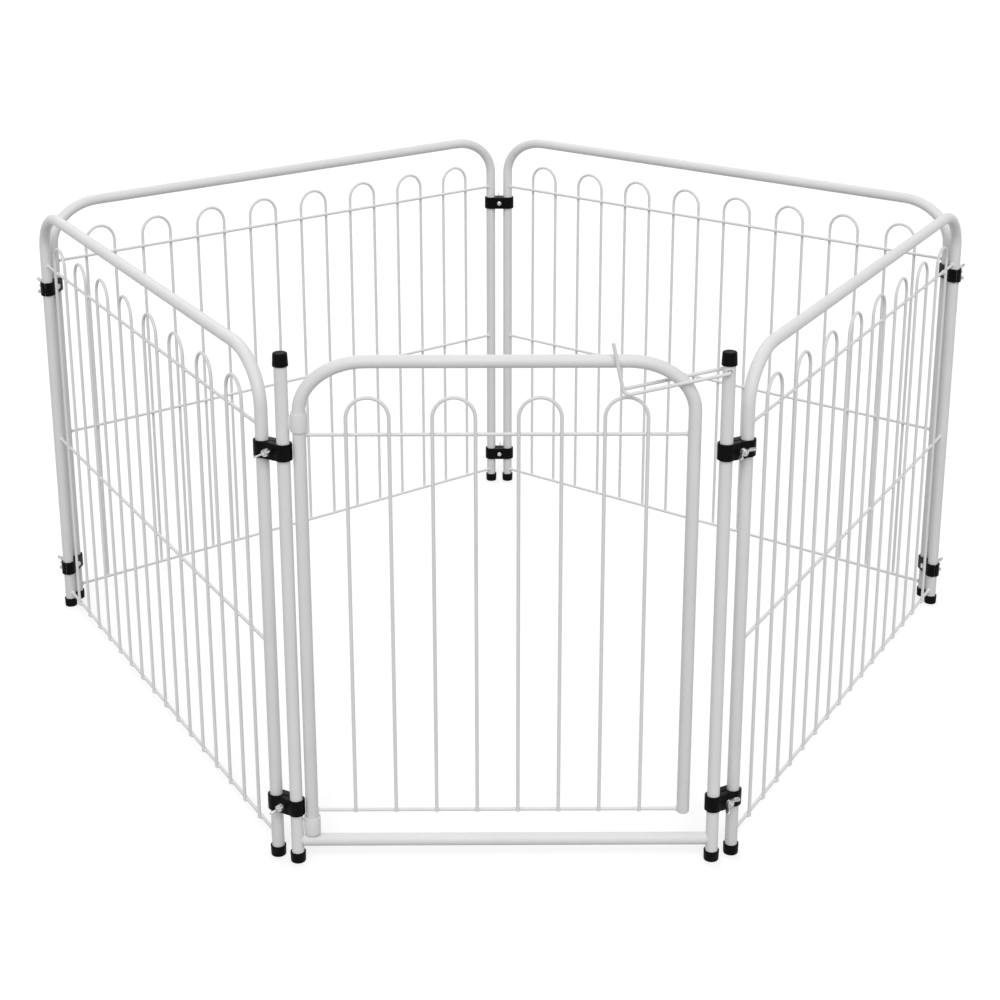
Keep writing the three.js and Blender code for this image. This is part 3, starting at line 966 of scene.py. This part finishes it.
def buildClamps():
    innerHalf = asShape("innerHalf", clampShape(False))
    outerHalf = asShape("outerHalf", clampShape(True))
    carriageBolt = asShape("carriageBolt", boltShape())
    wingNut = asShape("wingNut", wingNutShape())
    for corner, (before, after, body) in corners.items():
        # the clamp's line runs the way that the panels do, so its +y side is inside the pen
        start, end = middle(before), middle(after)
        heading = math.atan2(end.y - start.y, end.x - start.x)
        centre = (start + end) / 2
        stem = "clamp_" + corner
        boltNodes = [f"{stem}_{level}_bolt" for level in levels]
        halfNodes = [f"{stem}_{level}_{part}_half" for level in levels for part in ("inner", "outer")]
        spots = [(centre.x, centre.y, middle(node).z) for node in boltNodes]
        turns = [heading, heading]
        halves = [growStations(shape, spots, turns, "black_nylon") for shape in (innerHalf, outerHalf)]
        mesh = joinMeshes("halves", halves)
        finishPiece(camel(corner) + "ClampHalves", mesh, body, halfNodes, "black_nylon")
        bolts = growStations(carriageBolt, spots, turns, "zinc_plate")
        finishPiece(camel(corner) + "Bolts", bolts, body, boltNodes, "zinc_plate")
        for level, spot, lean in zip(levels, spots, wingLean[corner]):
            label = f"{corner}_{level}_wing_nut"
            nut = growStations(wingNut, [spot], [heading], "zinc_plate", [-math.radians(lean)])
            finishPiece(camel(label), nut, label, ["clamp_" + label], "zinc_plate")
    for shape in (innerHalf, outerHalf, carriageBolt, wingNut):
        bpy.data.objects.remove(shape)


buildClamps()
print("clamps bolted up")


# floor and light
studio = {
    "dome": 0.58, "key": 1.38, "keyAngle": 40.0, "floorHalf": 60,
    "floorTone": 0.36, "floorSeen": 0.52, "floorGlow": 0.56,
    "lamps": (("keyLight", (0.02, -1.0, 0.95), 1.0), ("backLight", (-0.3, 1.0, 0.9), 0.35)),
}


def seenDirectly(tree):
    # 1 for the camera's own rays and for reflections, 0 for the light that falls on things
    ray = tree.nodes.new("ShaderNodeLightPath")
    return addNode(tree, "ShaderNodeMath", {
        0: ray.outputs["Is Camera Ray"], 1: ray.outputs["Is Glossy Ray"]}, operation="MAXIMUM").outputs[0]


def layFloor():
    half = studio["floorHalf"]
    ground = bpy.data.meshes.new("floor")
    edge = [(-half, -half, 0), (half, -half, 0), (half, half, 0), (-half, half, 0)]
    ground.from_pydata(edge, [], [(0, 1, 2, 3)])
    floor = bpy.data.objects.new("floor", ground)
    scene.collection.objects.link(floor)
    finish = bpy.data.materials.new("paleFloor")
    finish.use_nodes = True
    tree = finish.node_tree
    tree.nodes.clear()
    plain = addNode(tree, "ShaderNodeBsdfDiffuse", {"Color": (studio["floorTone"],) * 3 + (1,)})
    pale = addNode(tree, "ShaderNodeBsdfDiffuse", {"Color": (studio["floorSeen"],) * 3 + (1,)})
    glow = addNode(tree, "ShaderNodeEmission", {"Color": (1, 1, 1, 1), "Strength": studio["floorGlow"]})
    lit = addNode(tree, "ShaderNodeAddShader", {0: pale.outputs[0], 1: glow.outputs[0]})
    pick = addNode(tree, "ShaderNodeMixShader", {
        0: seenDirectly(tree), 1: plain.outputs[0], 2: lit.outputs[0]})
    addNode(tree, "ShaderNodeOutputMaterial", {"Surface": pick.outputs[0]})
    ground.materials.append(finish)


def lightStudio():
    world = bpy.data.worlds.new("paleStudio")
    scene.world = world
    world.use_nodes = True
    tree = world.node_tree
    sky = tree.nodes["Background"]
    level = addNode(tree, "ShaderNodeMapRange", {
        "Value": seenDirectly(tree), "To Min": studio["dome"], "To Max": 1.0})
    sky.inputs["Color"].default_value = (1, 1, 1, 1)
    tree.links.new(level.outputs[0], sky.inputs["Strength"])
    for label, aim, share in studio["lamps"]:
        lamp = bpy.data.lights.new(label, "SUN")
        lamp.energy = studio["key"] * share
        lamp.angle = math.radians(studio["keyAngle"])
        holder = bpy.data.objects.new(label, lamp)
        holder.rotation_euler = Vector(aim).to_track_quat("Z", "Y").to_euler()
        scene.collection.objects.link(holder)


layFloor()
lightStudio()
print("studio lit")

bpy.context.view_layer.update()
